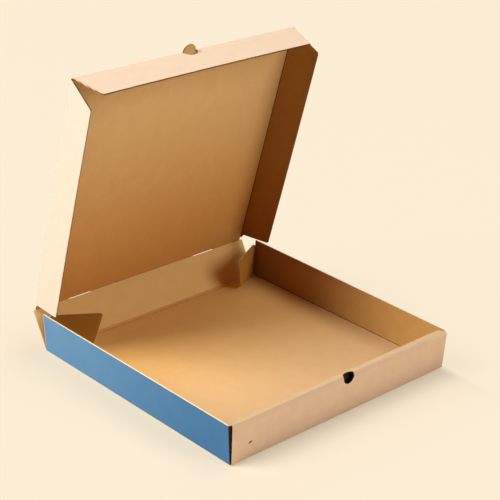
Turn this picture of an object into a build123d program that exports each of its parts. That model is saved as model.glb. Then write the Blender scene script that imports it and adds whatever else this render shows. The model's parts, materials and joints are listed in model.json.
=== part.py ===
"""A pizza box in corrugated card, folded from one blank and standing open.

All lengths are in millimetres and all angles in degrees.
X runs along the front of the tray, Y from the front to the back, and Z is up.
The origin lies on the table, under the middle of the tray's floor.
"""
from build123d import *
import math
import os

# The board
sheet = 1.5                 # thickness of the corrugated card
fold_gap = 0.3              # free space left where one panel turns beside another
lap_gap = 0.2               # the same, where a flap turns on the inner face of a wall
fold_radius = 2.0           # outer radius of a fixed fold
corner_radius = 3.0         # rounding of the free corners of the flaps
overrun = 5.0               # how far a cut runs past what it cuts

# The tray
tray_width = 332.0          # over the feet of the side walls
tray_depth = 330.0          # over the front wall and the upright back wall
wall_height = 49.0
left_lean = 3.2             # how far the left wall's top stands out from its foot
right_lean_front = 0.3      # the same for the right wall where the front wall holds it
right_lean_rear = 3.2       # the same for the right wall at its free rear end
floor_seam = 6.0            # edge of the floor that belongs to the right wall's fold

# The rolled front wall
front_bulge_left = 0.5      # how far the outer face stands out at the top, left end
front_bulge_right = 3.5     # the same at the right end
roll_depth = 8.0            # from the front of the tray to the inner face at the top
roll_foot_depth = 4.5       # the same at the foot of the inner face
roll_end_gap = 1.0          # outer panel's ends, in from the corners of the tray
inner_end_left = 8.0        # inner panel's left end, in from the tray's side
inner_end_right = 5.0       # inner panel's right end, in from the tray's side
foot_gap = 0.3              # between the inner panel's foot and the floor
tab_width = 34.0            # lock tabs below the inner panel
tab_pitch = 190.0           # between the middles of the two lock tabs
tab_recess = 0.2            # the tabs stop this far above the table
slot_clearance = 0.4        # all round a lock tab in its slot
notch_half_width = 9.5      # half-moon thumb hole in the rolled edge
notch_depth = 12.0          # down the outer face
notch_back = 7.0            # across the top of the roll
nick_length = 4.5           # small tear in the outer face
nick_width = 1.2
nick_from_left = 25.0
nick_height = 19.8
nick_turn = 20.0

# The trapped flaps inside the rolled front wall
trapped_length = 62.0
trapped_gap = 0.6           # behind the outer panel of the roll

# The rear dust flaps
dust_top_length = 68.0
dust_bottom_length = 53.0
dust_bottom = 2.5           # lower edge, above the table at the fold
dust_top = 46.6             # upper edge near the fold
dust_end_top = 44.6         # upper edge at the free end
dust_relief_drop = 4.0      # the upper edge dips this far at the fold, clear of the lid's flap
dust_relief_run = 9.0
left_dust_turn = 35.0       # swung forward from a line along the back wall
right_dust_turn = 29.0

# The back wall
back_lean = 29.0            # backwards from upright
lid_seat_gap = 0.3          # between the wall tops and the closed lid
back_end_gap = 0.7          # the back wall's ends, in from the corners of the tray
slit_length = 33.0          # two slits cut along the lid's fold, which light shows through
slit_pitch = 196.0          # between the middles of the slits
slit_depth = 0.9            # down the back wall, below the fold

# The lid
lid_lean = 15.5             # forward from upright
lid_depth = 319.0           # from the back of the upright back wall to the front fold
lid_inset = 2.4             # each side of the lid, in from the side of the tray
thumb_radius = 11.2         # half-moon tab cut out of the front flap
thumb_gap = 0.4             # round the tab, in the front flap

# The lid's flaps
side_flap_depth = 45.6
side_splay = 5.5            # outwards from square to the lid
side_rear_start = 3.0       # rear end of the flap at its fold
side_shoulder_place = 9.8   # where the shoulder ends, along the fold
side_shoulder_depth = 5.0   # and down the flap
side_rear_end = 22.5        # rear end of the flap at its free edge
side_front_start = 1.5      # front end at the fold, back from the front fold
side_front_end = 13.5       # front end at the free edge, back from the front fold
front_flap_depth = 43.0
front_splay = 3.5
front_end_start = 1.8       # each end of the front flap at its fold, in from the lid's side
front_end_taper = 11.0      # each end at the free edge, in from the lid's side

# Worked-out sizes
half_sheet = sheet / 2
half_width = tray_width / 2
half_depth = tray_depth / 2
bead_gap = half_sheet + fold_gap                      # from a fold's axis to the panel before it
back_axis = (0, half_depth - half_sheet, half_sheet)  # fold of the back wall
back_height = wall_height + lid_seat_gap              # between the two rear folds
front_face = -half_depth
wall_front = front_face + sheet + trapped_gap         # front ends of the side walls and the floor
side_rear = back_axis[1] - bead_gap                   # rear ends of the same
inner_face_top = front_face + roll_depth
inner_face_foot = front_face + roll_foot_depth
lid_half_width = half_width - lid_inset
side_axis = lid_half_width - half_sheet               # folds of the lid's side flaps
front_axis = lid_depth - sheet                        # fold of the front flap, from the lid's own

back_up = Vector(0, math.sin(math.radians(back_lean)), math.cos(math.radians(back_lean)))
lid_up = Vector(0, -math.sin(math.radians(lid_lean)), math.cos(math.radians(lid_lean)))
across = Vector(1, 0, 0)
lid_inward = across.cross(lid_up)                     # from the lid towards the tray
lid_axis = Vector(*back_axis) + back_up * back_height


def bent_sheet(*corners):
    """Draw the section of a sheet bent along the corners, which lie on its outer face."""
    outer_points = [Vector(*corner) for corner in corners]
    headings = [(q - p).normalized() for p, q in zip(outer_points, outer_points[1:])]
    inward = [Vector(heading.Y, -heading.X) for heading in headings]
    before = inward[:1] + inward
    after = inward + inward[-1:]
    inner_points = [
        point + (m + n) * (sheet / (1 + m.dot(n)))
        for point, m, n in zip(outer_points, before, after)
    ]
    outer = FilletPolyline(*outer_points, radius=fold_radius)
    inner = FilletPolyline(*inner_points, radius=fold_radius - sheet)
    Line(outer @ 0, inner @ 0)
    Line(outer @ 1, inner @ 1)


def panel_plane(start, along, down):
    """Plane in the middle of a panel: its x follows `along` and its y follows `down`."""
    return Plane(origin=start, x_dir=along, z_dir=along.cross(down))


# The rolled front wall: outer panel, top strip and inner panel, from one end to the other
with BuildPart() as rolled_front:
    for end, bulge in ((-1, front_bulge_left), (1, front_bulge_right)):
        with BuildSketch(Plane.YZ.offset(end * (half_width - roll_end_gap))):
            with BuildLine():
                bent_sheet(
                    (front_face + 2 * fold_radius, 0),
                    (front_face, 0),
                    (front_face - bulge, wall_height),
                    (inner_face_top, wall_height),
                    (inner_face_foot, sheet + foot_gap),
                )
            make_face()
    loft(ruled=True)
    # The strip and the inner panel stop short of the side walls, with slanting ends.
    with BuildSketch(Plane.XY.offset(sheet)):
        for end, inner_end in ((-1, inner_end_left), (1, inner_end_right)):
            with BuildLine():
                Polyline(
                    (end * (half_width - roll_end_gap), front_face + sheet + fold_gap),
                    (end * (half_width - inner_end), inner_face_top - sheet),
                    (end * (half_width - inner_end), inner_face_top + overrun),
                    (end * (half_width + overrun), inner_face_top + overrun),
                    (end * (half_width + overrun), front_face + sheet + fold_gap),
                    close=True,
                )
            make_face()
    extrude(amount=wall_height, mode=Mode.SUBTRACT)
    # Half-moon thumb hole in the rolled edge: down the outer panel, then across the strip.
    with BuildSketch(Plane.XZ.offset(-front_face - sheet - fold_radius)):
        with Locations((0, wall_height - notch_depth + notch_half_width)):
            Circle(notch_half_width)
        with Locations((0, wall_height)):
            Rectangle(2 * notch_half_width, 2 * (notch_depth - notch_half_width))
    extrude(amount=overrun + fold_radius, mode=Mode.SUBTRACT)
    with BuildSketch(Plane.XY.offset(wall_height - fold_radius)):
        with Locations((0, front_face)):
            Ellipse(notch_half_width, notch_back)
    extrude(amount=overrun, mode=Mode.SUBTRACT)
    # The small tear near the left end.
    with BuildSketch(Plane.XZ.offset(-front_face - sheet - fold_gap)):
        with Locations((nick_from_left - half_width, nick_height)):
            SlotOverall(nick_length, nick_width, rotation=nick_turn)
    extrude(amount=overrun, mode=Mode.SUBTRACT)
    # Lock tabs that go down through the floor.
    with BuildSketch(Plane.XY.offset(tab_recess)):
        with Locations((0, inner_face_foot - half_sheet)):
            with GridLocations(tab_pitch, 0, 2, 1):
                Rectangle(tab_width, sheet)
    extrude(amount=sheet + fold_radius)

with BuildPart() as tray:
    # Floor and left wall are one bent sheet of even section.
    with BuildSketch(Plane.XZ.offset(-wall_front)):
        with BuildLine():
            bent_sheet(
                (half_width - floor_seam, 0),
                (-half_width, 0),
                (-half_width - left_lean, wall_height),
            )
        make_face()
    extrude(amount=wall_front - side_rear)
    # The right wall, with the floor's edge beside it, leans out more towards its free rear end.
    for place, right_lean in ((wall_front, right_lean_front), (side_rear, right_lean_rear)):
        with BuildSketch(Plane.XZ.offset(-place)):
            with BuildLine():
                bent_sheet(
                    (half_width + right_lean, wall_height),
                    (half_width, 0),
                    (half_width - floor_seam, 0),
                )
            make_face()
    loft(ruled=True)
    # Slots in the floor for the lock tabs.
    with BuildSketch(Plane.XY):
        with Locations((0, inner_face_foot - half_sheet)):
            with GridLocations(tab_pitch, 0, 2, 1):
                Rectangle(tab_width + 2 * slot_clearance, sheet + 2 * slot_clearance)
    extrude(amount=sheet, mode=Mode.SUBTRACT)
    # Front dust flaps, folded in from the side walls and trapped inside the roll.
    with BuildSketch(Plane.XZ.offset(-wall_front)):
        for end, lean in ((-1, left_lean), (1, right_lean_front)):
            with BuildLine():
                Polyline(
                    (end * (half_width - half_sheet + lean * dust_bottom / wall_height), dust_bottom),
                    (end * (half_width - half_sheet + lean * dust_top / wall_height), dust_top),
                    (end * (half_width - trapped_length), dust_top),
                    (end * (half_width - trapped_length), dust_bottom),
                    close=True,
                )
            make_face()
    extrude(amount=-sheet)
    add(rolled_front.part)
tray.part.label = "tray"

# The back wall
back_plane = panel_plane(back_axis, across, back_up)
back_half_width = half_width - back_end_gap
with BuildPart() as back_wall:
    with BuildSketch(back_plane):
        with Locations((0, (back_height - bead_gap) / 2)):
            Rectangle(2 * back_half_width, back_height - bead_gap)
        with Locations((0, back_height - bead_gap)):
            with GridLocations(slit_pitch, 0, 2, 1):
                SlotOverall(slit_length, 2 * slit_depth, mode=Mode.SUBTRACT)
    extrude(amount=half_sheet, both=True)
    with BuildSketch(Plane.YZ.offset(-back_half_width)):
        with Locations(back_axis[1:]):
            Circle(half_sheet)
    extrude(amount=2 * back_half_width)
back_wall.part.label = "back_wall"

# The lid, with the thumb tab that is cut out of the front flap and stays flat with the lid
lid_plane = panel_plane(lid_axis, across, lid_up)
panel_half_width = side_axis - bead_gap
with BuildPart() as lid:
    with BuildSketch(lid_plane):
        with Locations((0, (front_axis - bead_gap) / 2)):
            Rectangle(2 * panel_half_width, front_axis - bead_gap)
        with Locations((0, front_axis)):
            Circle(thumb_radius)
    extrude(amount=half_sheet, both=True)
    with BuildSketch(Plane.YZ.offset(-panel_half_width)):
        with Locations((lid_axis.Y, lid_axis.Z)):
            Circle(half_sheet)
    extrude(amount=2 * panel_half_width)
lid.part.label = "lid"


def hinged_flap(plane, outline, root):
    """Cut a flap from its outline, with a rounded edge along its fold between two places."""
    with BuildSketch(plane) as face:
        with BuildLine():
            Polyline(*outline, close=True)
        make_face()
        free_corners = [corner for corner in vertices() if corner.Y > side_rear_end]
        fillet(free_corners, corner_radius)
    extrude(face.sketch, amount=half_sheet, both=True)
    with BuildSketch(Plane(plane.origin + plane.x_dir * root[0], z_dir=plane.x_dir)) as edge:
        Circle(half_sheet)
    extrude(edge.sketch, amount=root[1] - root[0])


# The lid's side flaps: x runs up the lid from its rear fold, y runs down the flap
side_depth = side_flap_depth - half_sheet
side_outline = [
    (side_rear_start, 0),
    (side_shoulder_place, side_shoulder_depth),
    (side_rear_end, side_depth),
    (lid_depth - side_front_end, side_depth),
    (lid_depth - side_front_start, 0),
]
side_root = (side_rear_start, lid_depth - side_front_start)


def side_down(hand):
    """Direction from the fold to the free edge of the flap on the -1 or +1 side."""
    turn = math.radians(side_splay)
    return lid_inward * math.cos(turn) + across * (hand * math.sin(turn))


with BuildPart() as lid_left_flap:
    hinged_flap(
        panel_plane(lid_axis - across * side_axis, lid_up, side_down(-1)), side_outline, side_root
    )
lid_left_flap.part.label = "lid_left_flap"

with BuildPart() as lid_right_flap:
    hinged_flap(
        panel_plane(lid_axis + across * side_axis, lid_up, side_down(1)), side_outline, side_root
    )
lid_right_flap.part.label = "lid_right_flap"

# The lid's front flap
front_turn = math.radians(front_splay)
front_down = lid_inward * math.cos(front_turn) + lid_up * math.sin(front_turn)
front_plane = panel_plane(lid_axis + lid_up * front_axis, across, front_down)
front_root = lid_half_width - front_end_start
front_tip = lid_half_width - front_end_taper
with BuildPart() as lid_front_flap:
    hinged_flap(
        front_plane,
        [
            (-front_root, 0),
            (-front_tip, front_flap_depth - half_sheet),
            (front_tip, front_flap_depth - half_sheet),
            (front_root, 0),
        ],
        (-front_root, front_root),
    )
    # The half-moon opening that the thumb tab leaves behind.
    with BuildSketch(front_plane):
        Circle(thumb_radius + thumb_gap)
    extrude(amount=sheet, both=True, mode=Mode.SUBTRACT)
lid_front_flap.part.label = "lid_front_flap"


def dust_plane(hand, lean, turn):
    """Plane in the middle of a rear dust flap: x goes up its fold and y goes out along it."""
    foot = Vector(hand * (half_width - sheet - lap_gap - half_sheet), side_rear - half_sheet, 0)
    fold = Vector(hand * lean, 0, wall_height).normalized()
    swing = math.radians(turn)
    out = Vector(-hand * math.cos(swing), -math.sin(swing), 0)
    out = (out - fold * out.dot(fold)).normalized()
    return panel_plane(foot, fold, out)


# The rear dust flaps, which stand free on the rear ends of the side walls
dust_outline = [
    (dust_bottom, 0),
    (dust_bottom, dust_bottom_length),
    (dust_end_top, dust_top_length),
    (dust_top, dust_relief_run),
    (dust_top - dust_relief_drop, 0),
]
dust_root = (dust_bottom, dust_top - dust_relief_drop)
with BuildPart() as rear_left_dust_flap:
    hinged_flap(dust_plane(-1, left_lean, left_dust_turn), dust_outline, dust_root)
rear_left_dust_flap.part.label = "rear_left_dust_flap"

with BuildPart() as rear_right_dust_flap:
    hinged_flap(dust_plane(1, right_lean_rear, right_dust_turn), dust_outline, dust_root)
rear_right_dust_flap.part.label = "rear_right_dust_flap"

os.makedirs("parts", exist_ok=True)
for node in (
    tray,
    back_wall,
    lid,
    lid_left_flap,
    lid_right_flap,
    lid_front_flap,
    rear_left_dust_flap,
    rear_right_dust_flap,
):
    export_step(node.part, "parts/" + node.part.label + ".step")
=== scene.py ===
# %% [markdown]
# # A pizza box in corrugated card
#
# The real box is one blank of thin corrugated board, cut, creased and folded. It stands open:
# the front wall is rolled over two trapped flaps, the back wall leans back on its fold, and the
# lid stands up from it with three flaps. Nothing is glued and nothing is printed except one blue
# side wall.
#
# Corrugated board is three papers: an outer liner, an inner liner, and a wavy paper between them
# called the fluting. Painting waves on the edges of solid panels would be quicker, but a cut edge
# then looks like a picture of board. Here every panel is made of its three papers, so the open
# flutes at a cut edge are real, and each paper gets its own finish.

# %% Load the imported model
import json
import math
import bmesh
import bpy
import numpy as np
from mathutils import Matrix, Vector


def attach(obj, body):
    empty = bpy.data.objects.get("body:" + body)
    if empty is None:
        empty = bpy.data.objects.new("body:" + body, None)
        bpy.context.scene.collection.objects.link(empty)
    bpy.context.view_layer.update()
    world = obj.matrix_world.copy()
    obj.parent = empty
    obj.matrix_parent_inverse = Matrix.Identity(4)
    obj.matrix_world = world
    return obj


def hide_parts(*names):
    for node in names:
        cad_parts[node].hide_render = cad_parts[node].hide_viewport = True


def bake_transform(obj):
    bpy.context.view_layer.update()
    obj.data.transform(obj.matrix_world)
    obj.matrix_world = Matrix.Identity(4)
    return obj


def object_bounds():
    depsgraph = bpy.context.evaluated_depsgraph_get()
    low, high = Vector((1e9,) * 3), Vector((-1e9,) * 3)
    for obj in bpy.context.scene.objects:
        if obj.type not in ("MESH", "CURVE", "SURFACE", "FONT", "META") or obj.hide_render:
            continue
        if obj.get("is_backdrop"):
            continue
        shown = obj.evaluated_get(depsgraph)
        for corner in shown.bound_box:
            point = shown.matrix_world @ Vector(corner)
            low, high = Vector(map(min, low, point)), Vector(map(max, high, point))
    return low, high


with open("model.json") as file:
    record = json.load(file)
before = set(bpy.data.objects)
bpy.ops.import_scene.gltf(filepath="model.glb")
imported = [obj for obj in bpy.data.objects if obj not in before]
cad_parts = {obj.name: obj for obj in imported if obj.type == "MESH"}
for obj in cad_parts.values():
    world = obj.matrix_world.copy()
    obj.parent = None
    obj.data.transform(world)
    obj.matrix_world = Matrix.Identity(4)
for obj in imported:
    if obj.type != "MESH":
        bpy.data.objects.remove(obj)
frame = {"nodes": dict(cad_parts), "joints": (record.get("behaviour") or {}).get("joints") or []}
cad_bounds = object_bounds()
print("panels of the packed model:", sorted(frame["nodes"]))

# %% [markdown]
# ## Sizes
#
# Lengths are worked out in millimetres, as a box maker's drawing has them, and become metres only
# when a mesh is made. X runs along the front of the tray, Y from front to back, and Z is up. The
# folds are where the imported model's joints are.

# %% The board and the tray
MM = 0.001
sheet = 1.5
half_sheet = sheet / 2
fold_gap = 0.3
bead_gap = half_sheet + fold_gap
fold_radius = 2.0
corner_radius = 3.0
half_width = 166.0
half_depth = 165.0
wall_height = 49.0
left_lean, right_lean_front, right_lean_rear = 3.2, 0.3, 3.2
front_face = -half_depth
wall_front = front_face + sheet + 0.6
side_rear = half_depth - half_sheet - bead_gap

# %% Directions of the back wall and the lid
back_lean, lid_lean = math.radians(29.0), math.radians(15.5)
across = np.array([1.0, 0.0, 0.0])
back_up = np.array([0.0, math.sin(back_lean), math.cos(back_lean)])
back_inward = np.cross(across, back_up)
lid_up = np.array([0.0, -math.sin(lid_lean), math.cos(lid_lean)])
lid_inward = np.cross(across, lid_up)
back_axis = np.array([0.0, half_depth - half_sheet, half_sheet])
back_height = wall_height + 0.3
lid_axis = back_axis + back_up * back_height
hinge_of = {joint["name"]: np.array(joint["pos_m"]) / MM for joint in frame["joints"]}
print("lid fold here", lid_axis.round(2), "and in the packed model", hinge_of["lid_hinge"].round(2))

# %% [markdown]
# ## The camera
#
# The photographer stood in front of the tray's left corner, a little above the box, with a long
# lens. The place, lens and slight tilt come from the box's own corners in the photograph: they
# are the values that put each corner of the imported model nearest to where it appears.

# %% Placing an object
def placed_object(name, data, sideways, upwards, backwards, spot):
    """Add an object to the scene, with its X, Y and Z along three directions, at a spot."""
    turned = np.eye(4)
    turned[:3, :3] = np.stack([sideways, upwards, backwards], 1)
    turned[:3, 3] = spot
    placed = bpy.data.objects.new(name, data)
    placed.matrix_world = Matrix(turned.tolist())
    bpy.context.scene.collection.objects.link(placed)
    return placed


# %% Camera
azimuth, elevation, tilt = (math.radians(angle) for angle in (-42.98, 24.38, 1.61))
distance, focal_pixels, picture_side = 2045.0, 1496.0, 500
aim = np.array([215.1, 224.2, 0.0])
away = np.array([
    math.sin(azimuth) * math.cos(elevation),
    -math.cos(azimuth) * math.cos(elevation),
    math.sin(elevation),
])
level_right = np.cross(-away, [0.0, 0.0, 1.0])
level_right /= np.linalg.norm(level_right)
level_up = np.cross(level_right, -away)
right = level_right * math.cos(tilt) + level_up * math.sin(tilt)
up = level_up * math.cos(tilt) - level_right * math.sin(tilt)
lens = bpy.data.cameras.new("camera")
lens.sensor_width = 36.0
lens.lens = focal_pixels * lens.sensor_width / picture_side
stand = (aim + away * distance) * MM
bpy.context.scene.camera = placed_object("camera", lens, right, up, away, stand)
print("lens", round(lens.lens, 1), "mm, from", stand.round(3))

# %% [markdown]
# ## Finishes
#
# Kraft liner is unbleached paper: short fibres lying mostly one way, a cloudy look from uneven
# pulp, and faint stripes where the glued tips of the flutes show through. The stripes and fibres
# have to follow each panel, so they read the panel's own flat coordinates, kept in its UV map as
# metres across and along the flutes. A cut edge shows the paler inside of the paper.
#
# In the photograph the same paper is deeper and redder where little light reaches it, more so than
# the lamps alone make it. So each place gets its own lighter or darker copy of the paper, as painted
# light and painted shade, and some of these tones darken smoothly along a panel.

# %% Small helpers for shader nodes
def add_node(tree, kind, inputs=(), **settings):
    """Add a shader node with its settings. Each input takes a value or another node's socket."""
    node = tree.nodes.new(kind)
    for name, value in settings.items():
        setattr(node, name, value)
    for place, value in dict(inputs).items():
        if isinstance(value, bpy.types.NodeSocket):
            tree.links.new(value, node.inputs[place])
        else:
            node.inputs[place].default_value = value
    return node


def math_node(tree, operation, *values):
    """One arithmetic step on numbers or sockets."""
    return add_node(tree, "ShaderNodeMath", enumerate(values), operation=operation).outputs[0]


def mixed(tree, share, first, second, blend="MIX"):
    """Mix two colours by a share."""
    inputs = {0: share, 6: first, 7: second}
    node = add_node(tree, "ShaderNodeMix", inputs, data_type="RGBA", blend_type=blend)
    return node.outputs[2]


def noise(tree, spot, scale, detail, roughness=0.5):
    """Noise at a spot, in layers that get finer; roughness is how strong the finer ones are."""
    inputs = {"Vector": spot, "Scale": scale, "Detail": detail, "Roughness": roughness}
    return add_node(tree, "ShaderNodeTexNoise", inputs).outputs[0]


def smooth_change(tree, value, start, stop, low=0.0, high=1.0):
    """Low where the value is start, high where it is stop, and 3t^2 - 2t^3 of the way between."""
    inputs = {"Value": value, "From Min": start, "From Max": stop, "To Min": low, "To Max": high}
    node = add_node(tree, "ShaderNodeMapRange", inputs, interpolation_type="SMOOTHSTEP")
    return node.outputs[0]


def linear(red, green, blue):
    """Scene-linear colour, with alpha 1, of a screen colour given from 0 to 255."""
    screen = np.array([red, green, blue]) / 255
    low, high = screen / 12.92, ((screen + 0.055) / 1.055) ** 2.4
    return tuple(float(v) for v in np.where(screen <= 0.04045, low, high)) + (1.0,)


# %% [markdown]
# Each paper is the same recipe with other colours: a base colour, pulled towards a darker tone by
# two layers of noise, one broad and cloudy and one of fine fibres drawn out along the paper's
# grain. The flute stripes are a sine of the distance across the flutes.

# %% Paper
flute_pitch = 3.4
fibre_scale = (420.0, 2600.0, 1.0)
cloud_share, cloud_offset, fibre_share = 0.75, -0.12, 0.45
stripes_in_colour, stripes_in_relief = 6, 4
relief_strength, relief_depth = 0.35, 0.00012


def paper(name, light, dark, stripe=0.05, roughness=0.85, blotch=55.0, seed=0.0, fade=None,
          rubbed=None):
    """A paper finish: two screen colours mixed by broad and fine noise and by the flute stripes.

    fade = (start, stop, tint) multiplies the colour by tint, smoothly, along the flutes.
    rubbed(tree, flat, colour) gives the colour of a print that is rubbed through in places."""
    material = bpy.data.materials.new(name)
    material.use_nodes = True
    tree = material.node_tree
    surface = tree.nodes["Principled BSDF"]
    surface.inputs["Roughness"].default_value = roughness
    surface.inputs["Specular IOR Level"].default_value = 0.25
    flat = add_node(tree, "ShaderNodeUVMap", uv_map="flat").outputs[0]
    cloud = noise(tree, flat, blotch, 4.0, 0.6)
    drawn_out = add_node(tree, "ShaderNodeMapping", {
        "Vector": flat, "Location": (seed, seed, 0.0), "Scale": fibre_scale,
    })
    fibre = noise(tree, drawn_out.outputs[0], 1.0, 3.0, 0.65)
    apart = add_node(tree, "ShaderNodeSeparateXYZ", {"Vector": flat})
    phase = math_node(tree, "MULTIPLY", apart.outputs[0], 2 * math.pi / (flute_pitch * MM))
    strength = math_node(tree, "POWER", noise(tree, flat, 14.0, 1.0), 2.0)
    stripes = math_node(tree, "MULTIPLY", math_node(tree, "SINE", phase), strength)
    grain = math_node(tree, "MULTIPLY", fibre, fibre_share)
    tone = math_node(tree, "MULTIPLY_ADD", cloud, cloud_share, cloud_offset)
    both = math_node(tree, "ADD", tone, grain)
    share = math_node(tree, "MULTIPLY_ADD", stripes, stripe * stripes_in_colour, both)
    colour = mixed(tree, share, linear(*light), linear(*dark))
    if fade:
        start, stop, tint = fade
        along = smooth_change(tree, apart.outputs[1], start, stop)
        colour = mixed(tree, along, colour, tint + (1.0,), "MULTIPLY")
    if rubbed:
        colour = rubbed(tree, flat, colour)
    tree.links.new(colour, surface.inputs["Base Color"])
    relief = math_node(tree, "MULTIPLY_ADD", stripes, stripe * stripes_in_relief, grain)
    inputs = {"Strength": relief_strength, "Distance": relief_depth, "Height": relief}
    bump = add_node(tree, "ShaderNodeBump", inputs)
    tree.links.new(bump.outputs[0], surface.inputs["Normal"])
    return material


# The floor's tone grows deeper and redder towards the rear. This is painted shade, where the lid
# shades the floor.
floor_paper_shaded_rear = paper(
    "floor inner liner, painted shade at the rear", (220, 182, 132), (204, 163, 114), fade=(-0.12, 0.13, (1.17, 1.04, 0.66))
)
# A darker, redder copy of the inner liner for the side walls, darker still towards the rear: painted
# shade.
shaded_wall_paper = paper(
    "wall inner liner, painted shade", (205, 162, 95), (186, 142, 77), 0.13,
    fade=(-0.10, 0.15, (0.66, 0.50, 0.50)),
)
# A lighter copy of the inner liner for the back wall: painted light.
lit_back_paper = paper("back inner liner, painted light", (240, 195, 124), (226, 178, 108), 0.04)
# The lid's inner liner darkens and reddens towards its fold: painted shade.
lid_inner_paper_shaded_fold = paper(
    "lid inner liner, painted shade at the fold", (227, 184, 122), (208, 164, 104), fade=(0.26, 0.03, (0.93, 0.72, 0.44))
)
# A much darker copy of the inner liner for the inside of the lid's flaps: painted shade.
shaded_flap_paper = paper("flap inner liner", (168, 113, 42), (150, 97, 34))
# A darker copy of the inner liner for the dust flaps: painted shade.
shaded_dust_paper = paper("dust flap inner liner", (190, 133, 50), (172, 114, 38))
outer_paper = paper("outer liner", (240, 203, 165), (219, 179, 141), 0.015)
# The front wall's outer liner darkens a little towards its foot: painted shade.
front_paper_shaded_foot = paper(
    "front outer liner, painted shade at the foot", (240, 203, 165), (219, 179, 141), 0.012,
    fade=(0.030, 0.002, (0.94, 0.92, 0.92)),
)
# A darker copy of the outer liner, for the top strip.
strip_paper = paper("top strip liner", (216, 183, 144), (196, 161, 120), 0.0)
# Painted shade: a dark brown paper for gaps, hollows, creases and cut edges that lie in shade.
painted_shade_paper = paper("shaded liner", (74, 43, 20), (50, 27, 11), 0.0)
# Paler copies of the outer liner for the lid's outside, its flaps and its front flap: painted light.
lit_lid_paper = paper("lid outer liner, painted light", (224, 208, 187), (213, 195, 172), 0.02)
lit_front_flap_paper = paper("front flap liner, painted light", (234, 206, 177), (220, 191, 161), 0.02)
flute_paper = paper("fluting", (198, 150, 94), (172, 124, 72), 0.0)
cut_paper = paper("cut edge", (247, 228, 192), (234, 208, 166), 0.0)
print("papers:", [material.name for material in bpy.data.materials])

# %% [markdown]
# ## A sheet of paper with real thickness
#
# Every paper is a grid of points for its upper face and another for its lower face. Joining them
# cell by cell gives a closed sheet; where a cell is left out, as in a slot, its sides get a rim
# too. Blender's Solidify could add the thickness, but working out both faces keeps each paper
# exactly as thick as it should be where the board is pressed together.

# %% Closed sheet
def closed_sheet(upper, lower, keep):
    """Faces of a closed sheet, as rows of four point numbers, and which of them are rim faces.

    The points are numbered row by row, all of the upper face first. A kept cell gives one face
    above and one below; each side of it that has no kept neighbour gives a face between them."""
    rows, columns = upper.shape[:2]
    number = np.arange(rows * columns).reshape(rows, columns)
    a, b = number[:-1, :-1], number[:-1, 1:]
    c, d = number[1:, 1:], number[1:, :-1]
    deep = rows * columns
    top = np.stack([a, b, c, d], -1)[keep]
    bottom = np.stack([a, d, c, b], -1)[keep] + deep
    around = np.pad(keep, 1)
    sides = (
        (a, b, around[:-2, 1:-1]),
        (b, c, around[1:-1, 2:]),
        (c, d, around[2:, 1:-1]),
        (d, a, around[1:-1, :-2]),
    )
    rims = np.concatenate([
        np.stack([q, p, p + deep, q + deep], -1)[keep & ~beyond] for p, q, beyond in sides
    ])
    points = np.concatenate([upper.reshape(-1, 3), lower.reshape(-1, 3)])
    faces = np.concatenate([top, bottom, rims])
    # Turn every face over if the upper face would look downwards.
    corner = points[top]
    facing = np.cross(corner[:, 2] - corner[:, 0], corner[:, 3] - corner[:, 1])
    outwards = points[top[:, 0]] - points[top[:, 0] + deep]
    if (facing * outwards).sum() < 0:
        faces = faces[:, ::-1]
    is_rim = np.arange(len(faces)) >= 2 * len(top)
    return points, faces, is_rim


def sheet_part(upper, lower, flat):
    """A whole grid as one part for make_piece, all in the piece's first material."""
    rows, columns = upper.shape[:2]
    points, faces, is_rim = closed_sheet(upper, lower, np.ones((rows - 1, columns - 1), bool))
    flat = flat.reshape(-1, 2)
    return points, faces, is_rim, np.concatenate([flat, flat]), np.zeros(len(faces), int)


def refinished(part, choose):
    """The same part with the material numbers that `choose` gives.

    It is given each face's corners in space and in the flat, rim flags and old numbers."""
    points, faces, is_rim, flat, finish = part
    return points, faces, is_rim, flat, choose(points[faces], flat[faces], is_rim, finish)


def make_piece(name, body, parts, materials, replaced=()):
    """Join closed sheets into one mesh, with its flat coordinates as a UV map.

    Each part is (points, faces, rim flags, flat coordinates, material numbers)."""
    starts = np.cumsum([0] + [len(part[0]) for part in parts[:-1]])
    points = np.concatenate([part[0] for part in parts]) * MM
    faces = np.concatenate([part[1] + start for part, start in zip(parts, starts)])
    flat = np.concatenate([part[3] for part in parts]) * MM
    finish = np.concatenate([part[4] for part in parts])
    mesh = bpy.data.meshes.new(name)
    mesh.from_pydata(points.tolist(), [], faces.tolist())
    layer = mesh.uv_layers.new(name="flat")
    layer.data.foreach_set("uv", flat[faces.ravel()].astype(np.float32).ravel())
    mesh.polygons.foreach_set("material_index", finish.astype(np.int32))
    for material in materials:
        mesh.materials.append(material)
    shape = bmesh.new()
    shape.from_mesh(mesh)
    bmesh.ops.remove_doubles(shape, verts=shape.verts, dist=2e-6)
    bmesh.ops.dissolve_degenerate(shape, edges=shape.edges, dist=1e-6)
    shape.to_mesh(mesh)
    shape.free()
    mesh.polygons.foreach_set("use_smooth", np.ones(len(mesh.polygons), bool))
    mesh.set_sharp_from_angle(angle=math.radians(35.0))
    piece = bpy.data.objects.new(name, mesh)
    bpy.context.scene.collection.objects.link(piece)
    if body:
        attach(piece, body)
    if replaced:
        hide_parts(*replaced)
    print(name, "faces:", len(mesh.polygons))
    return piece


# %% [markdown]
# ## Corrugated board
#
# A panel is described flat, as it lies in the blank: `a` is the distance across the flutes, `b`
# the distance along them, and for each `a` the panel reaches from one `b` to another. A placing
# function then takes (a, b, height above the middle of the board) to its place on the box, which
# may be flat, leaning or folded. The fluting is a sine of `a`. Cuts along the flutes crush the
# board a little, and a panel's root at a fold is rounded, so both papers come together there.

# %% Board
liner = 0.2
flute_paper_thickness = 0.13
columns_per_flute = 10
root_places = -half_sheet * np.cos(np.linspace(0, math.pi / 2, 5))


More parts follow.
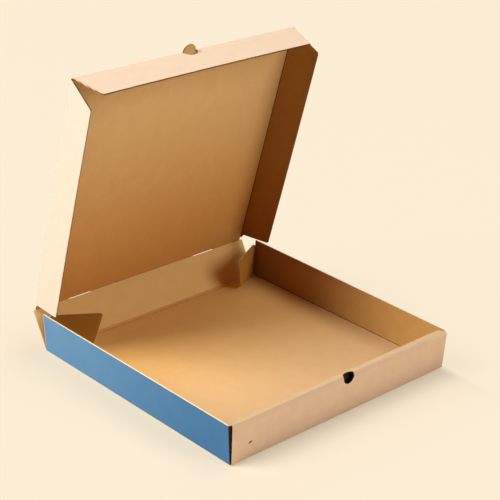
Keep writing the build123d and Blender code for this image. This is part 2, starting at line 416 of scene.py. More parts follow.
def smooth_step(t):
    """0 below 0, 1 above 1, and 3t^2 - 2t^3 between."""
    t = np.clip(t, 0.0, 1.0)
    return t * t * (3 - 2 * t)


def rounded_root(t):
    """Share of the full thickness at distance t from a fold: a half round that closes behind it."""
    behind = np.clip(-t / half_sheet, 0.0, 1.0)
    return np.sqrt(np.clip(1 - behind**2, 0.0, 1.0))


def crushed(t, least=0.55, reach=1.3):
    """Share of the full thickness at distance t inside an edge that was cut along the flutes."""
    return least + (1 - least) * smooth_step(t / reach)


def in_order(*groups):
    """The places of all the groups, in order and each once."""
    return np.unique(np.concatenate(groups))


def round_places(radius, count):
    """Places across a circle that lie closer together towards its sides."""
    return radius * np.sin(np.linspace(-math.pi / 2, math.pi / 2, count))


def level_rows(a, places):
    """Rows that lie at the same place along the flutes for every a."""
    return [np.full(a.shape, b) for b in places]


def fine_columns(columns):
    """The same span with enough columns to each flute, keeping the given ones."""
    first, last = columns[0], columns[-1]
    count = max(2, int((last - first) / flute_pitch * columns_per_flute))
    return np.union1d(np.linspace(first, last, count), columns)


def board(columns, rows_at, place, full=None, open_rows=()):
    """The three papers of a panel, as parts for make_piece: outer liner, inner liner, fluting.

    columns are the places across the flutes that the liners need. rows_at(a) gives the places
    along the flutes, one row of numbers for each row of points. full(a, b) is the share of the
    full thickness. A row band named in open_rows is an opening wherever it has any width. The
    material numbers are 0, 1 and 2 in that order, and 3 on the rims."""
    parts = []

    def one_paper(a, upper_height, lower_height):
        b = rows_at(a)
        wide = np.broadcast_to(a, b.shape)
        share = np.ones(b.shape) if full is None else full(wide, b)
        keep = np.ones((b.shape[0] - 1, b.shape[1] - 1), bool)
        for band in open_rows:
            width = b[band + 1] - b[band]
            keep[band] = ~((width[:-1] > 1e-6) & (width[1:] > 1e-6))
        upper = place(wide, b, upper_height(wide, share))
        lower = place(wide, b, lower_height(wide, share))
        points, faces, is_rim = closed_sheet(upper, lower, keep)
        flat = np.stack([wide, b], -1).reshape(-1, 2)
        finish = np.where(is_rim, 3, len(parts))
        parts.append((points, faces, is_rim, np.concatenate([flat, flat]), finish))

    def skin(share):
        return liner * np.clip(share / 0.4, 0.05, 1.0)

    def swing(a, share):
        room = np.clip(half_sheet * share - skin(share) - flute_paper_thickness / 2, 0.0, None)
        return room * np.sin(2 * math.pi * a / flute_pitch)

    one_paper(columns, lambda a, s: -half_sheet * s, lambda a, s: -half_sheet * s + skin(s))
    one_paper(columns, lambda a, s: half_sheet * s, lambda a, s: half_sheet * s - skin(s))
    one_paper(
        fine_columns(columns),
        lambda a, s: swing(a, s) + flute_paper_thickness / 2,
        lambda a, s: swing(a, s) - flute_paper_thickness / 2,
    )
    return parts


def flat_panel(origin, a_way, b_way, inward):
    """Placing function of a flat panel: origin + a, b and height along three directions."""
    def place(a, b, height):
        return (
            origin + a[..., None] * a_way + b[..., None] * b_way + height[..., None] * inward
        )
    return place


def bowed(place, amount, a_span, b_span):
    """The same panel, with its middle standing `amount` towards the inside: a sine each way."""
    def placed(a, b, height):
        across_share = np.clip((a - a_span[0]) / (a_span[1] - a_span[0]), 0, 1)
        along_share = np.clip((b - b_span[0]) / (b_span[1] - b_span[0]), 0, 1)
        bulge = amount * np.sin(math.pi * across_share) * np.sin(math.pi * along_share)
        return place(a, b, height + bulge)
    return placed


def rounded_outline(corners, radii, steps=5):
    """Round the corners of an open outline: each corner becomes an arc tangent to both sides."""
    corners = np.array(corners, float)
    points = [corners[:1]]
    for before, here, after, radius in zip(corners[:-2], corners[1:-1], corners[2:], radii):
        into = (before - here) / np.linalg.norm(before - here)
        out = (after - here) / np.linalg.norm(after - here)
        half = math.acos(float(np.clip(into @ out, -1, 1))) / 2
        if radius <= 0 or half > math.pi / 2 - 1e-3:
            points.append(here[None])
            continue
        middle = here + (into + out) / np.linalg.norm(into + out) * radius / math.sin(half)
        first = here + into * radius / math.tan(half) - middle
        last = here + out * radius / math.tan(half) - middle
        share = np.linspace(0, 1, steps)[:, None]
        arc = first * (1 - share) + last * share
        arc *= radius / np.linalg.norm(arc, axis=1)[:, None]
        points.append(middle + arc)
    points.append(corners[-1:])
    return np.concatenate(points)


# %% [markdown]
# The papers of each kind of panel are listed in the order of the material numbers: outer liner,
# inner liner, fluting, cut edges, and then any others that the panel needs.

# %% Papers of the panels
back_papers = [outer_paper, lit_back_paper, flute_paper, cut_paper]
roll_papers = [front_paper_shaded_foot, floor_paper_shaded_rear, flute_paper, cut_paper, strip_paper, painted_shade_paper]
trapped_shade_papers = [painted_shade_paper, painted_shade_paper, painted_shade_paper, painted_shade_paper]
dust_papers = [outer_paper, shaded_dust_paper, flute_paper, cut_paper]
# On the lid and its flaps the cut edges take the painted shade paper.
lid_papers = [lit_front_flap_paper, lid_inner_paper_shaded_fold, flute_paper, painted_shade_paper]
left_flap_papers = [lit_lid_paper, shaded_flap_paper, flute_paper, painted_shade_paper]
right_flap_papers = [lit_front_flap_paper, shaded_flap_paper, flute_paper, painted_shade_paper]
front_flap_papers = [lit_front_flap_paper, shaded_flap_paper, flute_paper, painted_shade_paper]

# %% [markdown]
# ## Back wall
#
# The back wall is a long strip that leans back on its fold. Two slits are cut along the lid's
# fold, and light shows through them. Each is a dip in the wall's top edge, rounded at its ends.

# %% Back wall
slit_length, slit_place, slit_depth = 33.0, 98.0, 0.45
back_end = half_width - 0.7


def back_rows(a):
    """Rows of the back wall: its rounded root, then up to the lid's fold, less the two slits."""
    beyond = np.abs(np.abs(a) - slit_place) - (slit_length / 2 - slit_depth)
    dip = np.sqrt(np.clip(slit_depth**2 - np.clip(beyond, 0, None) ** 2, 0, None))
    top = back_height - bead_gap - dip
    return np.stack(level_rows(a, [*root_places, 12.0, 26.0, 38.0, 45.0]) + [top])


slit_ends = slit_length / 2 - slit_depth * (1 - np.sin(np.linspace(0, math.pi / 2, 7)))
back_columns = in_order(
    np.linspace(-back_end, back_end, 41),
    *[hand * slit_place + side * slit_ends for hand in (-1, 1) for side in (-1, 1)],
    [-back_end + 0.6, -back_end + 1.3, back_end - 1.3, back_end - 0.6],
)
back_place = flat_panel(back_axis, across, back_up, back_inward)


def back_full(a, b):
    """Full thickness, less the rounded root and the crushed ends."""
    return rounded_root(b) * crushed(back_end - np.abs(a))


make_piece(
    "back_wall_card", "back_wall", board(back_columns, back_rows, back_place, back_full),
    back_papers, ["back_wall"],
)

# %% [markdown]
# ## Lid
#
# The lid is one large panel. A half-moon tab stays in its plane when the front flap folds down, so
# the panel's front edge has a bump in the middle. A thumb pulls on it to open the box.

# %% Lid
lid_half_width = half_width - 2.4
side_axis = lid_half_width - half_sheet
front_axis = 319.0 - sheet
panel_end = side_axis - bead_gap
thumb_radius = 9.4
lid_bow, lid_bow_length = -1.2, 316


def lid_rows(a):
    """Rows of the lid, from its rounded root to the front edge and the half-moon tab."""
    tab = front_axis + np.sqrt(np.clip(thumb_radius**2 - a**2, 0, None))
    top = np.where(np.abs(a) < thumb_radius, tab, front_axis - bead_gap)
    places = [*root_places, *np.linspace(20, 305, 14), front_axis - bead_gap - 2.0]
    return np.stack(level_rows(a, places) + [top])


thumb_columns = round_places(thumb_radius, 21)
thumb_columns[[0, -1]] *= 0.9999
lid_columns = in_order(
    np.linspace(-panel_end, panel_end, 35), thumb_columns, [-thumb_radius, thumb_radius],
    [-panel_end + 0.6, -panel_end + 1.3, panel_end - 1.3, panel_end - 0.6],
)
lid_place = bowed(
    flat_panel(lid_axis, across, lid_up, lid_inward),
    lid_bow, (-panel_end, panel_end), (0, lid_bow_length),
)


def lid_full(a, b):
    """Full thickness, less the rounded root and the crushed sides."""
    return rounded_root(b) * crushed(panel_end - np.abs(a), 0.8)


make_piece(
    "lid_card", "lid", board(lid_columns, lid_rows, lid_place, lid_full), lid_papers, ["lid"]
)

# %% [markdown]
# ## The lid's side flaps
#
# The flutes run from the back of the box to the front, so on a side flap they lie along its fold.
# Each flap is cut back at both ends so that it can fold in beside the others. In the crease next to
# the fold the inner liner carries painted shade.

# %% Side flaps
crease_width = 1.2
side_depth = 45.6 - half_sheet
side_bow = -0.7
side_start, side_stop, side_middle = 3, 317.5, 160
rear_cut_back, front_cut_back = 22.5, 305.5
side_lower = rounded_outline(
    [(0, side_start), (5, 9.8), (side_depth, rear_cut_back), (side_depth, side_middle)],
    (0, corner_radius),
)[:-1]
side_upper = rounded_outline(
    [(0, side_stop), (side_depth, front_cut_back), (side_depth, side_middle)], (corner_radius,)
)[:-1]
side_columns = in_order(
    root_places, side_lower[:, 0], side_upper[:, 0], [crease_width], np.linspace(6, 40, 5),
    side_depth - np.array([0.0, 0.15, 0.5, 1.0, 1.6]),
)


def side_rows(a):
    """Rows of a side flap, from its rear end to its front end at each distance from the fold."""
    lower = np.interp(a, side_lower[:, 0], side_lower[:, 1])
    upper = np.interp(a, side_upper[:, 0], side_upper[:, 1])
    return lower + (upper - lower) * np.linspace(0, 1, 16)[:, None]


def side_full(a, b):
    """Full thickness, less the rounded root and the crushed free edge."""
    return rounded_root(a) * crushed(side_depth - a)


def shaded_crease(spots, flat, is_rim, finish):
    """Painted shade, the paper also used on the cut edges, where the flap is nearest to its fold."""
    return np.where(flat[:, :, 0].max(1) < crease_width + 0.01, 3, finish)


side_splay = math.radians(5.5)
side_frames = {}
for hand, name, papers in ((-1, "left", left_flap_papers), (1, "right", right_flap_papers)):
    corner = lid_axis + across * (hand * side_axis)
    down = lid_inward * math.cos(side_splay) + across * (hand * math.sin(side_splay))
    inward = np.cross(lid_up, down) * -hand
    side_frames[hand] = (corner, down, inward)
    place = flat_panel(corner, down, lid_up, inward)
    place = bowed(place, side_bow, (0, 2 * side_depth), (0, side_stop + 0.5))
    parts = board(side_columns, side_rows, place, side_full)
    parts[1] = refinished(parts[1], shaded_crease)
    make_piece(f"lid_{name}_flap_card", f"lid_{name}_flap", parts, papers, [f"lid_{name}_flap"])

# %% [markdown]
# ## The lid's front flap
#
# The flutes run down this flap, so its long free edge shows them open, and the slanting ends are
# paler. The die cut its left end unevenly: the cut wanders by about a millimetre.

# %% Front flap
front_splay = math.radians(3.5)
front_down = lid_inward * math.cos(front_splay) + lid_up * math.sin(front_splay)
front_inward = np.cross(across, front_down)
front_root = lid_half_width - 1.8
front_tip = lid_half_width - 11.0
front_depth = 43.0 - half_sheet
slant = rounded_outline(
    [(-front_root, 0), (-front_tip, front_depth), (0, front_depth)], (corner_radius,)
)
opening = thumb_radius + 0.4
front_bow = -0.8
wander = 1.5


def front_rows(a):
    """Rows of the front flap, from the fold, or the half-moon opening, to the free edge.

    The left end is shifted by the product of a quick and a slow sine of the distance down it."""
    left = a < 0
    edge = np.interp(-np.abs(a), slant[:, 0], slant[:, 1])
    ripple = wander * np.sin(edge * 0.62) * np.sin(edge * 0.075)
    shifted = np.interp(-np.abs(a) - np.where(left, ripple, 0), slant[:, 0], slant[:, 1])
    bottom = np.maximum(np.where(left, shifted, edge), 0.0)
    hole = np.sqrt(np.clip(opening**2 - a**2, 0, None))
    rows = np.stack([
        np.where(np.abs(a) < opening, hole, np.minimum(b, bottom)) for b in root_places
    ])
    share = np.linspace(0, 1, 6)[1:, None]
    return np.concatenate([rows, rows[-1] + (bottom - rows[-1]) * share])


front_columns = in_order(
    slant[:-1, 0], -slant[:-1, 0], round_places(opening, 21), [-opening - 0.01, opening + 0.01],
    np.linspace(-front_root, -front_tip, 24), np.linspace(front_tip, front_root, 6),
    np.linspace(-front_tip + 4, front_tip - 4, 27),
)


def front_full(a, b):
    """Full thickness, less the rounded root."""
    return rounded_root(b)


def pale_ends(spots, flat, is_rim, finish):
    """The fluting's paper on the cut edges of the slanting ends."""
    at_end = np.abs(flat[:, :, 0]).min(1) > front_tip - 1.0
    return np.where(is_rim & at_end, front_flap_papers.index(flute_paper), finish)


front_corner = lid_axis + lid_up * front_axis
front_place = flat_panel(front_corner, across, front_down, front_inward)
front_place = bowed(front_place, front_bow, (-front_root, front_root), (0, 2 * front_depth))
front_parts = board(front_columns, front_rows, front_place, front_full)
make_piece(
    "lid_front_flap_card", "lid_front_flap",
    [refinished(part, pale_ends) for part in front_parts], front_flap_papers, ["lid_front_flap"],
)

# %% [markdown]
# ## Rear dust flaps
#
# Each rear dust flap folds in from the rear end of a side wall, where it keeps crumbs in. It hangs
# free while the box is open. The flutes run along its length.

# %% Dust flaps
dust_bottom, dust_top, dust_end_top = 2.5, 46.6, 44.6
relief_drop, relief_run = 4.0, 9.0
dust_short, dust_long, dust_corner = 53, 68, 20
dust_bow, dust_bow_length = 0.6, 110
from_dust_edge = np.array([0.3, 0.8, 1.4])
dust_fold_top = dust_top - relief_drop
dust_end = rounded_outline(
    [
        (dust_bottom, dust_corner), (dust_bottom, dust_short), (dust_end_top, dust_long),
        (dust_top, relief_run),
    ],
    (corner_radius, corner_radius),
)[1:]
dust_columns = in_order(
    dust_end[:, 0], [dust_bottom, dust_fold_top, dust_top], np.linspace(8, 38, 6),
    dust_bottom + from_dust_edge, dust_top - from_dust_edge,
)


def dust_rows(a):
    """Rows of a dust flap, out from the fold, or from the relief at its top, to the free end."""
    lower = np.interp(a, [dust_fold_top, dust_top], [0.0, relief_run])
    upper = np.interp(a, dust_end[:, 0], dust_end[:, 1])
    rows = np.stack([np.where(a > dust_fold_top, lower, b) for b in root_places])
    return np.concatenate([rows, lower + (upper - lower) * np.linspace(0, 1, 9)[1:, None]])


def dust_full(a, b):
    """Full thickness, less the rounded root and the crushed long edges."""
    return rounded_root(b) * crushed(a - dust_bottom) * crushed(dust_top - a)


for hand, lean, turn, name in ((-1, left_lean, 35.0, "left"), (1, right_lean_rear, 29.0, "right")):
    foot = np.array([hand * (half_width - sheet - 0.2 - half_sheet), side_rear - half_sheet, 0.0])
    fold = np.array([hand * lean, 0.0, wall_height])
    fold /= np.linalg.norm(fold)
    swung = math.radians(turn)
    out = np.array([-hand * math.cos(swung), -math.sin(swung), 0.0])
    out -= fold * (out @ fold)
    out /= np.linalg.norm(out)
    place = flat_panel(foot, fold, out, np.cross(fold, out) * hand)
    place = bowed(place, dust_bow, (dust_bottom, dust_top), (0, dust_bow_length))
    make_piece(
        f"rear_{name}_dust_flap_card", f"rear_{name}_dust_flap",
        board(dust_columns, dust_rows, place, dust_full),
        dust_papers, [f"rear_{name}_dust_flap"],
    )

# %% [markdown]
# ## A sheet bent along folds
#
# The floor and the two side walls are one sheet bent twice, and the front wall is one sheet bent
# three times. Both are a profile: the middle line of the board, with its corners rounded to arcs,
# and at each point the direction towards the inside. Two profiles, one for each end of the sheet,
# are joined by straight lines, because the real walls lean a little more at one end.

# %% Profile
arc_points = 7


def bent_path(corners, counts):
    """Middle line of a sheet whose outer face follows `corners`, with arcs at the folds.

    Along a run the heading is constant. At a fold the heading turns evenly, and the points are
    the arc's centre minus the inward direction times its radius. Returns points, inward
    directions and the distance along the line."""
    corners = np.array(corners, float)
    runs = np.diff(corners, axis=0)
    heading = runs / np.linalg.norm(runs, axis=1)[:, None]
    inward = np.stack([heading[:, 1], -heading[:, 0]], 1)
    before, after = np.vstack([inward[:1], inward]), np.vstack([inward, inward[-1:]])
    middle = corners + (before + after) / (1 + (before * after).sum(1))[:, None] * half_sheet
    radius = fold_radius - half_sheet
    angle = np.unwrap(np.arctan2(heading[:, 1], heading[:, 0]))
    setback = np.zeros(len(corners))
    setback[1:-1] = radius * np.tan(np.abs(np.diff(angle)) / 2)
    points, inwards = [], []
    for k, count in enumerate(counts):
        start = middle[k] + heading[k] * setback[k]
        stop = middle[k + 1] - heading[k] * setback[k + 1]
        share = np.linspace(0, 1, count)[:, None]
        points.append(start + (stop - start) * share)
        inwards.append(np.repeat(inward[k][None], count, 0))
        if k + 1 < len(counts):
            centre = stop + inward[k] * radius
            turning = np.linspace(angle[k], angle[k + 1], arc_points + 2)[1:-1]
            facing = np.stack([np.sin(turning), -np.cos(turning)], 1)
            points.append(centre - facing * radius)
            inwards.append(facing)
    points, inwards = np.concatenate(points), np.concatenate(inwards)
    steps = np.linalg.norm(np.diff(points, axis=0), axis=1)
    return points, inwards, np.concatenate([[0], np.cumsum(steps)])


def run_start(counts, run):
    """Number of a run's first point, after the runs and arcs before it."""
    return sum(counts[:run]) + arc_points * run


def between_profiles(first, last, low, high, order, swap=False):
    """Placing function of a sheet ruled between two profiles, at low and at high.

    `order` says which world axes the profile's two numbers and the ruled distance go to. The
    profile follows a, or b if `swap` is set."""
    def place(a, b, height):
        along, ruled = (b, a) if swap else (a, b)
        share = ((ruled - low) / (high - low))[..., None]
        spots = []
        for points, inwards, lengths in (first, last):
            span = along * lengths[-1] / first[2][-1]
            spot = np.stack([np.interp(span, lengths, points[:, k]) for k in (0, 1)], -1)
            way = np.stack([np.interp(span, lengths, inwards[:, k]) for k in (0, 1)], -1)
            way /= np.linalg.norm(way, axis=-1, keepdims=True)
            spots.append(spot + way * height[..., None])
        flat = spots[0] * (1 - share) + spots[1] * share
        placed = np.zeros(flat.shape[:-1] + (3,))
        placed[..., order[0]], placed[..., order[1]] = flat[..., 0], flat[..., 1]
        placed[..., order[2]] = ruled
        return placed
    return place


# %% [markdown]
# ## Floor and side walls
#
# The left wall's outer face is printed blue. The ink is part of the paper, so it is a colour in
# the outer liner: it begins at the fold, stops at the front corner, and is rubbed through in
# small flecks near the rear end and towards the top.

# %% Blue print
bare_card = linear(214, 188, 160)
fleck_start, fleck_stop = 0.70, 0.76


def rubbed_through(tree, flat, ink):
    """Bare card in flecks: where fine noise, plus a share that grows near the edges, is high.

    The share grows with the height and towards the rear, and steeply at the rear end."""
    speck = noise(tree, flat, 700.0, 3.0, 0.7)
    place = add_node(tree, "ShaderNodeTexCoord").outputs["Object"]
    spot = add_node(tree, "ShaderNodeSeparateXYZ", {"Vector": place})
    high = math_node(tree, "MULTIPLY_ADD", spot.outputs[2], 3.0, -0.02)
    rear = math_node(tree, "MULTIPLY_ADD", spot.outputs[1], 2.4, -0.25)
    end = math_node(tree, "MULTIPLY_ADD", spot.outputs[1], 60.0, -9.55)
    corner = math_node(tree, "MINIMUM", math_node(tree, "MAXIMUM", rear, 0.0), high)
    near_edge = math_node(tree, "MAXIMUM", corner, end)
    shown = math_node(tree, "ADD", speck, near_edge)
    ramp = add_node(tree, "ShaderNodeValToRGB", {0: shown})
    ramp.color_ramp.elements[0].position = fleck_start
    ramp.color_ramp.elements[1].position = fleck_stop
    return mixed(tree, ramp.outputs[0], ink, bare_card)


# The print is real; its darkening towards the front of the wall is painted shade.
blue_print_and_shade = paper(
    "blue print, painted shade at the front", (100, 145, 180), (79, 126, 164), 0.02, roughness=0.62, blotch=40.0, seed=3.0,
    fade=(0.15, -0.165, (0.40, 0.62, 0.74)), rubbed=rubbed_through,
)
tray_papers = [
    outer_paper, floor_paper_shaded_rear, flute_paper, cut_paper, blue_print_and_shade, shaded_wall_paper, painted_shade_paper
]

# %% Tray
tray_counts = (9, 40, 9)


def tray_profile(right_lean):
    """Profile across the tray: down the right wall, over the floor and up the left wall."""
    return bent_path(
        [
            (half_width + right_lean, wall_height), (half_width, 0),
            (-half_width, 0), (-half_width - left_lean, wall_height),
        ],
        tray_counts,
    )


front_profile, rear_profile = tray_profile(right_lean_front), tray_profile(right_lean_rear)
profile_length = front_profile[2][-1]
wall_stop = front_profile[2][tray_counts[0] - 1]
floor_start = front_profile[2][run_start(tray_counts, 1)]
floor_stop = profile_length - floor_start
floor_scale = (floor_stop - floor_start) / (2 * (half_width - fold_radius))
slot_clearance = 0.4
tab_place, tab_half = 95.0, 17.0
slot_half = tab_half + slot_clearance
inner_foot = front_face + 4.5
slot_middle = inner_foot - half_sheet
slot_spans = [(side * tab_place - slot_half, side * tab_place + slot_half) for side in (-1, 1)]
crease_place, crease_depth, crease_spread = 158.4, 0.85, 0.8


def tray_rows(a):
    """Rows from the front ends of the walls to their rear ends, with the two lock-tab slots."""
    x = half_width - fold_radius - (a - floor_start) / floor_scale
    in_slot = sum(((x > low) & (x < high)).astype(float) for low, high in slot_spans)
    half_slot = (half_sheet + slot_clearance) * in_slot
    slot = [slot_middle - half_slot, slot_middle + half_slot]
    near_crease = crease_place + np.array([-2.0, -1.0, -0.5, 0.0, 0.5, 1.0, 2.0])
    places = [*np.linspace(-150, 150, 17), *near_crease, side_rear]
    return np.stack(level_rows(a, [wall_front]) + slot + level_rows(a, places))


slot_columns = [
    floor_start + (half_width - fold_radius - x) * floor_scale + beside
    for span in slot_spans for x in span for beside in (-0.01, 0.01)
]
tray_columns = in_order(
    front_profile[2], slot_columns, [0.3, 0.8, 1.4], profile_length - np.array([0.3, 0.8, 1.4])
)


def tray_full(a, b):
    """Full thickness, less the crushed top edges of the side walls."""
    return crushed(a, 0.8, 0.8) * crushed(profile_length - a, 0.95, 0.5)


tray_ruled = between_profiles(front_profile, rear_profile, wall_front, side_rear, (0, 2, 1))


def tray_place(a, b, height):
    """The ruled sheet, with the inner face pressed down at the crease before the back fold.

    The dent is a bell curve of b, and it acts only on the floor and above the board's middle."""
    bell = np.exp(-(((b - crease_place) / crease_spread) ** 2))
    on_floor = smooth_step((a - floor_start) / 4) * smooth_step((floor_stop - a) / 4)
    upper = np.clip(height / half_sheet, 0, 1)
    return tray_ruled(a, b, height - crease_depth * bell * on_floor * upper)


def blue_wall(spots, flat, is_rim, finish):
    """Print on the left wall's part of the outer liner, from the fold upwards."""
    past_fold = flat[:, :, 0].min(1) > floor_stop + 1.0
    outside = spots[:, :, 0].mean(1) < 0.4 - half_width
    return np.where(past_fold & outside & ~is_rim, tray_papers.index(blue_print_and_shade), finish)


def shaded_inside(spots, flat, is_rim, finish):
    """Painted shade: a darker inner liner on the side walls and in the crease, and the darkest in
    the folds.
    """
    shaded_wall_number, painted_shade_number = tray_papers.index(shaded_wall_paper), tray_papers.index(painted_shade_paper)
    where = flat[:, :, 0].mean(1)
    past_fold = np.maximum(floor_start - where, where - floor_stop)
    in_crease = np.abs(flat[:, :, 1].mean(1) - crease_place) < 0.6
    return np.select(
        [is_rim, past_fold > floor_start - wall_stop, past_fold > 0, in_crease],
        [finish, shaded_wall_number, painted_shade_number, shaded_wall_number], finish,
    )


def shaded_front_ends(spots, flat, is_rim, finish):
    """Painted shade on the cut ends at the front corners, which stand in the gap behind the rolled
    wall.
    """
    at_front = spots[:, :, 1].max(1) < wall_front + 0.1
    return np.where(is_rim & at_front, tray_papers.index(painted_shade_paper), finish)


tray_parts = board(tray_columns, tray_rows, tray_place, tray_full, (1,))
tray_parts[0] = refinished(tray_parts[0], blue_wall)
tray_parts[1] = refinished(tray_parts[1], shaded_inside)
tray_parts = [refinished(part, shaded_front_ends) for part in tray_parts]
make_piece("tray_card", "tray", tray_parts, tray_papers, ["tray"])

# %% [markdown]
# The print is worn off along the left wall's top edge, which was cut along the flutes and pressed
# shut. A narrow pale band of bare paper runs over it, a little down the outside.

# %% Worn top edge
edge_b, edge_height = np.meshgrid(
    np.linspace(wall_front + 0.4, side_rear - 0.4, 40),
    np.linspace(-0.98, 0.98, 5) * half_sheet, indexing="ij",
)
edge_a = np.full(edge_b.shape, profile_length)
least_band, more_band, band_start, band_run = 0.3, 0.8, -60, 160
band = least_band + more_band * smooth_step((edge_b - band_start) / band_run)
edge_part = sheet_part(
    tray_ruled(edge_a - 0.02, edge_b, edge_height), tray_ruled(edge_a - band, edge_b, edge_height),
    np.stack([edge_a, edge_b], -1),
)
make_piece("left_wall_edge", "tray", [edge_part], [cut_paper])

# %% [markdown]
# ## Rolled front wall
#
# The front wall goes up, over and down again: an outer panel, a narrow strip on top and an inner
# panel whose two lock tabs go through the floor. One profile makes all of it. Its half-moon thumb
# hole is a band of cells that has width only near the middle, from the outer panel to the strip.

# %% Rolled front
roll_end = half_width - 1.0
roll_counts = (2, 14, 6, 12)
inner_top = front_face + 8.0
tab_reach = 1.4
left_bulge, right_bulge = 0.5, 3.5


def roll_profile(bulge):
    """Profile of the front wall, from the floor's front edge up, over and down to the tabs."""
    return bent_path(
        [
            (front_face + 2 * fold_radius, 0), (front_face, 0),
            (front_face - bulge, wall_height), (inner_top, wall_height),
            (inner_foot, sheet + 0.3),
        ],
        roll_counts,
    )


roll_left, roll_right = roll_profile(left_bulge), roll_profile(right_bulge)
roll_length = roll_left[2][-1]
strip_first = run_start(roll_counts, 2)
top_turn = roll_left[2][strip_first - (arc_points + 1) // 2]
strip_start = roll_left[2][strip_first]
strip_stop = roll_left[2][strip_first + roll_counts[2] - 1]
notch_place, notch_half, notch_drop, notch_back = 4.4, 8.2, 11.0, 4.2
rows_below_notch, rows_above_notch = 16, 22


def roll_rows(a):
    """Rows up the outer panel, round the thumb hole, over the strip and down to the tabs."""
    aside = np.abs(a - notch_place)
    near = np.sqrt(np.clip(1 - (aside / notch_half) ** 2, 0, None))
    inside = aside < notch_half
    low = top_turn - np.where(inside, notch_drop - notch_half + notch_half * near, 0)
    high = top_turn + np.where(inside, notch_back * near, 0)
    short = np.where(a < 0, 8.0, 5.0)
    from_side = half_width - np.abs(a)
    share = np.clip((from_side - 1.0) / (short - 1.0), 0, 1)
    strip_end = strip_start - 0.6 + (strip_stop - strip_start) * share
    end = np.where(from_side < short, strip_end, roll_length)
    tab = np.abs(np.abs(a) - tab_place) < tab_half
    end = end + np.where(tab, tab_reach, 0.0)
    rows = [low * share for share in np.linspace(0, 1, rows_below_notch)]
    for share in np.linspace(0, 1, rows_above_notch):
        rows.append(np.minimum(high + (end - high) * share, end))
    return np.stack(rows)


tab_columns = [
    hand * (tab_place + side * tab_half + beside)
    for hand in (-1, 1) for side, beside in ((-1, 0), (-1, -0.01), (1, 0), (1, 0.01))
]
roll_columns = in_order(
    np.linspace(-roll_end, roll_end, 61), notch_place + round_places(notch_half, 25),
    np.linspace(-165, -158, 9), np.linspace(161, 165, 7), tab_columns,
)
roll_place = between_profiles(roll_left, roll_right, -roll_end, roll_end, (1, 2, 0), swap=True)


def roll_full(a, b):
    """Full thickness, less the crushed ends."""
    return crushed(roll_end - np.abs(a), 0.75)


def darker_strip(spots, flat, is_rim, finish):
    """A darker copy of the outer liner on the top strip."""
    where = flat[:, :, 1].mean(1)
    on_strip = (where > strip_start - 2.2) & (where < strip_stop + 5.0)
    return np.where(on_strip & ~is_rim, roll_papers.index(strip_paper), finish)


def shaded_hollow(spots, flat, is_rim, finish):
    """Painted shade everywhere: the inner liner and the fluting show only in the roll's hollow."""
    return np.full(len(finish), roll_papers.index(painted_shade_paper))


roll_parts = board(roll_columns, roll_rows, roll_place, roll_full, (rows_below_notch - 1,))
roll_parts = [refinished(roll_parts[0], darker_strip)] + [
    refinished(part, shaded_hollow) for part in roll_parts[1:]
]
make_piece("rolled_front_card", "tray", roll_parts, roll_papers)

# %% [markdown]
# A small tear near the left end shows the inside of the board through the broken liner, painted dark
# as shade. It is a pointed oval on the outer face: two arcs that meet at its ends.

# %% Tear
tear_place, tear_height, tear_half, tear_open = -139.6, 21.4, 2.9, 1.15
tear_turn = math.radians(20)
tear_above, tear_below = 0.05, 0.1
share = np.linspace(-1, 1, 15)[:, None]
lip = np.linspace(-1, 1, 5)[None, :]
tear_along, tear_up = share * tear_half + 0 * lip, (1 - share**2) * tear_open * lip
tear_a = tear_place + tear_along * math.cos(tear_turn) - tear_up * math.sin(tear_turn)
tear_b = tear_height + tear_along * math.sin(tear_turn) + tear_up * math.cos(tear_turn)
tear_part = sheet_part(
    roll_place(tear_a, tear_b, np.full(tear_a.shape, -half_sheet - tear_above)),
    roll_place(tear_a, tear_b, np.full(tear_a.shape, -half_sheet + tear_below)),
    np.stack([tear_a, tear_b], -1),
)
make_piece("front_tear", "tray", [tear_part], [painted_shade_paper])

# %% [markdown]
# ## Trapped flaps
#
# Two flaps fold in from the front ends of the side walls, and the rolled front wall traps them. They
# show only in the narrow gaps at the corners, and all their papers are painted shade.

# %% Trapped flaps
trapped_columns = in_order([2.5, 3.0, 3.6, 45.8, 46.2, 46.6], np.linspace(6, 43, 5))
trapped_length = 62.0
for hand, lean, name in ((-1, left_lean, "left"), (1, right_lean_front, "right")):
    def trapped_rows(a, lean=lean):
        """Rows from the wall inwards, to where the flap ends inside the roll."""
        start = half_width - 0.3 + lean * a / wall_height
        return start + (half_width - trapped_length - start) * np.linspace(0, 1, 5)[:, None]

    place = flat_panel(
        np.array([0.0, wall_front + half_sheet, 0.0]),
        np.array([0.0, 0.0, 1.0]), across * hand, np.array([0.0, 1.0, 0.0]),
    )
    make_piece(
        f"trapped_{name}_flap_card", "tray", board(trapped_columns, trapped_rows, place),
        trapped_shade_papers,
    )

# %% [markdown]
# ## The paper over the folds
#
# At a fold the outer liner runs on from one panel to the next. A narrow strip of it, laid round the
# outside of each moving fold, covers the joint that the imported model needs for its motion. The
# strip turns evenly from one panel to the other round the fold as it stands now; it is on no body.

# %% Fold strips
strip_reach, strip_above, strip_below = 2.2, 0.04, 0.08
strip_step = 12
sunk, proud = half_sheet - 0.045, half_sheet + 0.02


